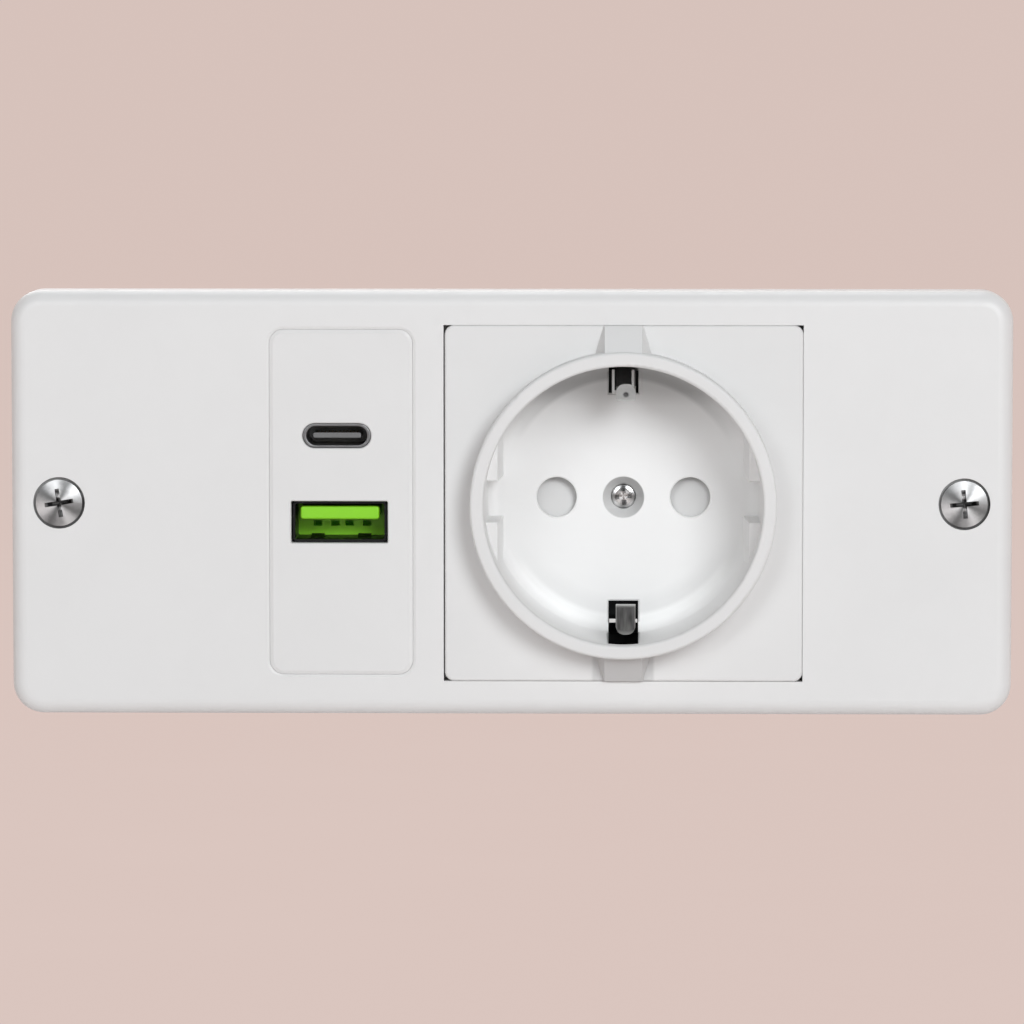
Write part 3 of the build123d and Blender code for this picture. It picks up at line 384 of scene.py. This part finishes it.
small_screw_m = metal("screw_plating_small", (0.72, 0.72, 0.70), 0.26, brush=(1200, 9000, 1200))


def board():
    """Green solder mask with faint raised tracks."""
    k = Mat("circuit_board").diffuse((0.03, 0.2, 0.09))
    k.set(Coat_Weight=0.35, Coat_Roughness=0.2)
    flat = k.stretch((1, 1, 1), rot=(math.radians(90), 0, 0))
    br = k.node("ShaderNodeTexBrick")
    br.inputs["Scale"].default_value = 160
    br.inputs["Mortar Size"].default_value = 0.05
    br.inputs["Mortar Smooth"].default_value = 0.2
    k.link(flat, br.inputs["Vector"])
    br.inputs["Color1"].default_value = (0.018, 0.145, 0.06, 1)
    br.inputs["Color2"].default_value = (0.024, 0.17, 0.07, 1)
    br.inputs["Mortar"].default_value = (0.05, 0.27, 0.12, 1)
    k.colour(br.outputs["Color"])
    k.rough(k.range(k.noise(500), 0.32, 0.46))
    k.normal(k.bump(br.outputs["Fac"], 0.4, 0.00003, k.bump(k.noise(1500), 0.15, 0.00002)))
    return k


board_m = board()


def tape():
    """Polyester tape laid round the winding in overlapping turns."""
    k = Mat("winding_tape").diffuse((0.72, 0.55, 0.06))
    w = k.node("ShaderNodeTexWave", wave_type="BANDS", bands_direction="Z", wave_profile="SAW")
    w.inputs["Scale"].default_value = 90
    w.inputs["Distortion"].default_value = 0.4
    k.link(k.co, w.inputs["Vector"])
    k.colour(k.ramp(w.outputs["Fac"], [(0.0, (0.58, 0.42, 0.03)), (0.15, (0.74, 0.56, 0.06)), (1.0, (0.70, 0.52, 0.05))]))
    k.rough(k.range(k.noise(600), 0.22, 0.34))
    k.normal(k.bump(w.outputs["Fac"], 0.5, 0.00004))
    return k


tape_m = tape()

slot_mat = {
    "plate_plastic": plate_m, "panel_plastic": panel_m, "cover_plastic": cover_m, "screw_plating": small_screw_m,
    "shutter_plastic": shutter_m, "spring_steel": spring_m, "base_plastic": base_m, "contact_brass": brass_m,
    "earth_metal": earth_m, "shell_steel": shell_m, "green_plastic": green_m, "black_plastic": black_m,
    "contact_gold": gold_m, "circuit_board": board_m, "ferrite": ferrite_m, "winding_tape": tape_m,
    "can_sleeve": sleeve_m, "disc_lacquer": disc_m, "choke_copper": copper_m, "fuse_body": fuse_m,
    "lead_brown": brown_m, "lead_blue": blue_m, "housing_plastic": housing_m, "grommet_rubber": rubber_m,
}
for sub in frame["record"]["subparts"]:
    assign(sub["node"], slot_mat[sub["material_slot"]])
assign("wall_screws", wall_screw_m)
assign("insert_screw", mid_screw_m)
assign("usb_c_shell", lip_m)
assign("usb_a_shell", shell_painted_shade_m)
assign("usb_c_tongue", tongue_painted_highlight_m)


# --------------------------------------------------------------- screw threads
def thread(name, x, z, y0, y1, r_core, r_top, pitch, seg=28):
    """Helical ridge round a shank along +Y, with run-out at both ends."""
    turns = (y1 - y0) / pitch
    n = int(turns * seg)
    bm = bmesh.new()
    rings = []
    for i in range(n + 1):
        a = 2 * math.pi * i / seg
        y = y0 + pitch * i / seg
        fade = max(0.03, min(1.0, i / (0.75 * seg), (n - i) / (0.75 * seg)))
        top = r_core + (r_top - r_core) * fade
        prof = [(r_core - 0.00008, -0.36 * pitch), (top, -0.07 * pitch), (top, 0.07 * pitch), (r_core - 0.00008, 0.36 * pitch)]
        rings.append([bm.verts.new((x + r * math.cos(a), y + dy, z + r * math.sin(a))) for r, dy in prof])
    for p, q in zip(rings, rings[1:]):
        for j in range(4):
            bm.faces.new((p[j], p[(j + 1) % 4], q[(j + 1) % 4], q[j]))
    bm.faces.new(rings[0][::-1])
    bm.faces.new(rings[-1])
    bmesh.ops.recalc_face_normals(bm, faces=bm.faces)
    me = bpy.data.meshes.new(name)
    bm.to_mesh(me)
    bm.free()
    o = bpy.data.objects.new(name, me)
    scene.collection.objects.link(o)
    for p in me.polygons:
        p.use_smooth = True
    me.set_sharp_from_angle(angle=math.radians(35))
    return o


for s, tag in ((-1, "left"), (1, "right")):
    o = thread(f"wall_screw_thread_{tag}", s * FIX_X, 0.0, 0.0006, 0.0213, 0.00175, 0.00198, 0.0009)
    o.data.materials.append(small_screw_m.m)
    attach(o, BODY)


# -------------------------------------------------------------- shutter springs
def coil_pair(name, centres, y, z0, z1, radius, wire, dead=1.0, active=4.5, seg=28, sides=10):
    """Two compression springs along Z with closed end turns, as one piece."""
    turns = active + 2 * dead
    shut = 2.1 * wire
    pitch = (z1 - z0 - 2 * dead * shut) / active
    bm = bmesh.new()
    for cx in centres:
        rings = []
        n = int(turns * seg)
        for i in range(n + 1):
            u = turns * i / n
            z = z0 + shut * min(u, dead) + pitch * max(0.0, min(u - dead, active)) + shut * max(0.0, u - dead - active)
            a = 2 * math.pi * u
            out = Vector((math.cos(a), math.sin(a), 0.0))
            mid = Vector((cx, y, z)) + out * radius
            rings.append([bm.verts.new(mid + out * (wire * math.cos(b)) + Vector((0, 0, wire * math.sin(b))))
                          for b in (2 * math.pi * j / sides for j in range(sides))])
        for p, q in zip(rings, rings[1:]):
            for j in range(sides):
                bm.faces.new((p[j], p[(j + 1) % sides], q[(j + 1) % sides], q[j]))
        bm.faces.new(rings[0][::-1])
        bm.faces.new(rings[-1])
    bmesh.ops.recalc_face_normals(bm, faces=bm.faces)
    me = bpy.data.meshes.new(name)
    bm.to_mesh(me)
    bm.free()
    for p in me.polygons:
        p.use_smooth = True
    me.set_sharp_from_angle(angle=math.radians(50))
    o = bpy.data.objects.new(name, me)
    scene.collection.objects.link(o)
    return o


coils = coil_pair("shutter_spring_coils", (SX - 0.0095, SX + 0.0095), SPRING_Y, -0.01925, -0.00925, 0.00165, 0.00022)
coils.data.materials.append(spring_m.m)
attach(coils, BODY)
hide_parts("shutter_springs")
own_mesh(coils)


# ---------------------------------------------------------------------- stage
def stage_mat():
    """Pale floor that runs into an evenly glowing tinted backdrop."""
    k = Mat("stage_paper").diffuse((0.7, 0.62, 0.6))
    k.set(Roughness=0.9, Specular_IOR_Level=0.1)
    y = k.axis("Y")
    rear = k.range(y, 0.0, 1.0, 0.12, 0.36)
    side = k.range(k.math("ABSOLUTE", k.axis("X")), 0.0, 0.95, 0.45, 1.20)
    fore = k.range(y, 0.45, 0.0, -1.7, -0.7)
    far = k.math("MAXIMUM", rear, k.math("MAXIMUM", side, fore))
    grain = k.range(k.noise(9, 5, 0.6), -0.01, 0.01)
    k.colour(k.ramp(k.math("ADD", far, grain), [(0.0, (0.60, 0.585, 0.58)), (1.0, (0.02, 0.0168, 0.016))]))
    k.set(Emission_Color=(0.667, 0.534, 0.492, 1.0))
    k.link(k.range(far, 0.10, 1.0, 0.0, 1.0), k.b.inputs["Emission Strength"])
    k.normal(k.bump(k.noise(260, 3, 0.6), 0.06, 0.0004))
    return k


def sweep_stage():
    prof = [(-4.0, 0.0), (1.5, 0.0)]
    r = 0.7
    for i in range(1, 17):
        a = math.radians(90 * i / 16)
        prof.append((1.5 + r * math.sin(a), r - r * math.cos(a)))
    prof.append((1.5 + r, 4.0))
    bm = bmesh.new()
    cols = []
    for x in (-4.5, 4.5):
        cols.append([bm.verts.new((x, y, FLOOR_Z + z)) for y, z in prof])
    for j in range(len(prof) - 1):
        bm.faces.new((cols[0][j], cols[1][j], cols[1][j + 1], cols[0][j + 1]))
    # low curved walls at both sides
    edge = [(1.9 + 0.4 * math.sin(math.radians(9 * i)), 0.0005 + 0.4 - 0.4 * math.cos(math.radians(9 * i))) for i in range(11)]
    for s in (-1, 1):
        ends = [[bm.verts.new((s * x, y, FLOOR_Z + z)) for x, z in edge] for y in (-4.0, 2.1)]
        for j in range(len(edge) - 1):
            quad = (ends[0][j], ends[1][j], ends[1][j + 1], ends[0][j + 1])
            bm.faces.new(quad if s < 0 else quad[::-1])
    me = bpy.data.meshes.new("stage_sweep")
    bm.to_mesh(me)
    bm.free()
    for p in me.polygons:
        p.use_smooth = True
    o = bpy.data.objects.new("stage_sweep", me)
    scene.collection.objects.link(o)
    me.materials.append(stage_mat().m)


sweep_stage()


# --------------------------------------------------------------------- lights
def area(name, direction, dist, size, power, col=(1, 1, 1), aim=(0.0, -0.004, 0.0), size_y=None):
    li = bpy.data.lights.new(name, "AREA")
    li.energy = power
    li.color = col
    if size_y:
        li.shape = "RECTANGLE"
        li.size, li.size_y = size, size_y
    else:
        li.shape = "DISK"
        li.size = size
    o = bpy.data.objects.new(name, li)
    scene.collection.objects.link(o)
    d = Vector(direction).normalized()
    o.location = Vector(aim) + d * dist
    o.rotation_mode = "QUATERNION"
    o.rotation_quaternion = (-d).to_track_quat("-Z", "Y")
    o.visible_camera = False
    return o


COOL = (0.957, 0.981, 1.0)
area("key_upper", (0.42, -1.0, 0.45), 1.3, 0.55, 6.0, COOL)
area("key_lower", (0.42, -1.0, 0.24), 1.3, 0.5, 2.5, COOL)
area("left_upper", (-0.30, -1.0, 0.44), 1.3, 0.55, 1.75, COOL)
area("left_mid", (-0.55, -1.0, 0.42), 1.3, 0.5, 1.4, COOL)
area("left_lower", (-0.55, -1.0, 0.22), 1.3, 0.5, 0.8, COOL)
area("top", (0.0, 0.3, 1.0), 1.3, 0.4, 2.5, COOL)
area("back_fill", (-0.3, 1.0, 0.8), 1.2, 0.9, 4.0, COOL)

world = bpy.data.worlds.new("studio")
scene.world = world
world.use_nodes = True
wt = world.node_tree
wt.nodes.clear()
wo = wt.nodes.new("ShaderNodeOutputWorld")
bg = wt.nodes.new("ShaderNodeBackground")
bg.inputs["Color"].default_value = (0.985, 1.0, 1.0, 1)
bg.inputs["Strength"].default_value = 0.07
wt.links.new(bg.outputs[0], wo.inputs["Surface"])

scene.view_settings.view_transform = "Standard"
scene.view_settings.look = "None"

# --------------------------------------------------------------------- camera
ELEV, AZIM, DIST, LENS = math.radians(4.55), math.radians(1.2), 0.8055, 201.94
PX = 0.001 / 7.131
back = Vector((math.sin(AZIM) * math.cos(ELEV), -math.cos(AZIM) * math.cos(ELEV), math.sin(ELEV)))
turn = (-back).to_track_quat("-Z", "Y")
right, up = turn @ Vector((1, 0, 0)), turn @ Vector((0, 1, 0))
aim = Vector((0.0, FACE_Y, 0.0)) + right * (1.0 * PX) - up * (8.4 * PX)
cam = bpy.data.cameras.new("camera")
cam.lens, cam.sensor_width, cam.sensor_fit = LENS, 36.0, "HORIZONTAL"
cam.clip_start, cam.clip_end = 0.02, 30.0
co = bpy.data.objects.new("camera", cam)
scene.collection.objects.link(co)
co.location = aim + back * DIST
co.rotation_mode = "QUATERNION"
co.rotation_quaternion = turn
scene.camera = co
